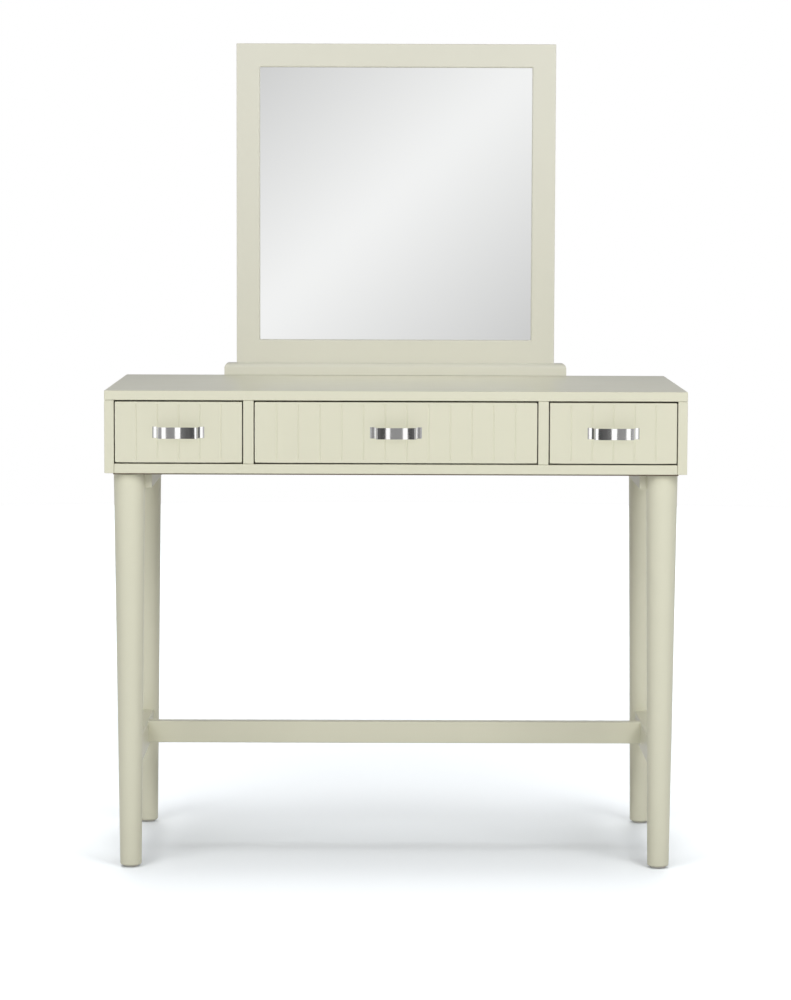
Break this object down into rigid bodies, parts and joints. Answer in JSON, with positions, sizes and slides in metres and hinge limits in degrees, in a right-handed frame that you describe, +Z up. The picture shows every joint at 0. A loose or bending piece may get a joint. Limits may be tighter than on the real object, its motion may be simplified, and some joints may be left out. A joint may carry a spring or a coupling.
{
  "type": "vanity table with mirror",
  "caption": "Dressing table with planked drawer fronts, strap handles, turned tapered legs with stretchers, and a fixed square mirror behind the top.",
  "frame": {"origin": "on the floor, under the middle of the whole object's box", "axes": "+Z up, the drawers face -Y, +X to the right of a person standing in front"},
  "size_m": [0.914, 0.497, 1.3208],
  "materials": {
    "cream_paint": "smooth semi-gloss cream paint over board and solid wood",
    "drawer_wood": "clear-lacquered pale hardwood",
    "hardboard": "bare brown hardboard",
    "chrome": "polished chrome plate",
    "mirror": "silvered flat glass",
    "zinc_steel": "zinc-plated pressed steel",
    "nylon": "moulded nylon"
  },
  "bodies": {
    "table": {"top_panel": "cream_paint", "side_panel_left": "cream_paint", "side_panel_right": "cream_paint", "bottom_panel": "cream_paint", "back_panel": "cream_paint", "divider_left": "cream_paint", "divider_right": "cream_paint", "leg_front_left": "cream_paint", "leg_front_right": "cream_paint", "leg_rear_left": "cream_paint", "leg_rear_right": "cream_paint", "leg_rail_left": "cream_paint", "leg_rail_right": "cream_paint", "side_stretcher_left": "cream_paint", "side_stretcher_right": "cream_paint", "cross_stretcher": "cream_paint", "mirror_stile_left": "cream_paint", "mirror_stile_right": "cream_paint", "mirror_top_rail": "cream_paint", "mirror_bottom_rail": "cream_paint", "mirror_base": "cream_paint", "underside_panel": "hardboard", "mirror_glass": "mirror", "mirror_backing": "hardboard", "foot_glide_front_left": "nylon", "foot_glide_front_right": "nylon", "foot_glide_rear_left": "nylon", "foot_glide_rear_right": "nylon", "slide_rail_left_left": "zinc_steel", "slide_rail_left_right": "zinc_steel", "slide_rail_center_left": "zinc_steel", "slide_rail_center_right": "zinc_steel", "slide_rail_right_left": "zinc_steel", "slide_rail_right_right": "zinc_steel"},
    "drawer_left": {"drawer_left_front": "cream_paint", "drawer_left_side_left": "drawer_wood", "drawer_left_side_right": "drawer_wood", "drawer_left_back": "drawer_wood", "drawer_left_bottom": "drawer_wood", "handle_left": "chrome", "slide_runner_left_left": "zinc_steel", "slide_runner_left_right": "zinc_steel"},
    "drawer_center": {"drawer_center_front": "cream_paint", "drawer_center_side_left": "drawer_wood", "drawer_center_side_right": "drawer_wood", "drawer_center_back": "drawer_wood", "drawer_center_bottom": "drawer_wood", "handle_center": "chrome", "slide_runner_center_left": "zinc_steel", "slide_runner_center_right": "zinc_steel"},
    "drawer_right": {"drawer_right_front": "cream_paint", "drawer_right_side_left": "drawer_wood", "drawer_right_side_right": "drawer_wood", "drawer_right_back": "drawer_wood", "drawer_right_bottom": "drawer_wood", "handle_right": "chrome", "slide_runner_right_left": "zinc_steel", "slide_runner_right_right": "zinc_steel"}
  },
  "joints": [
    {"name": "drawer_left_slide", "type": "slide", "parent": "table", "child": "drawer_left", "axis": [0, -1, 0], "range_m": [0, 0.28]},
    {"name": "drawer_center_slide", "type": "slide", "parent": "table", "child": "drawer_center", "axis": [0, -1, 0], "range_m": [0, 0.28]},
    {"name": "drawer_right_slide", "type": "slide", "parent": "table", "child": "drawer_right", "axis": [0, -1, 0], "range_m": [0, 0.28]}
  ]
}
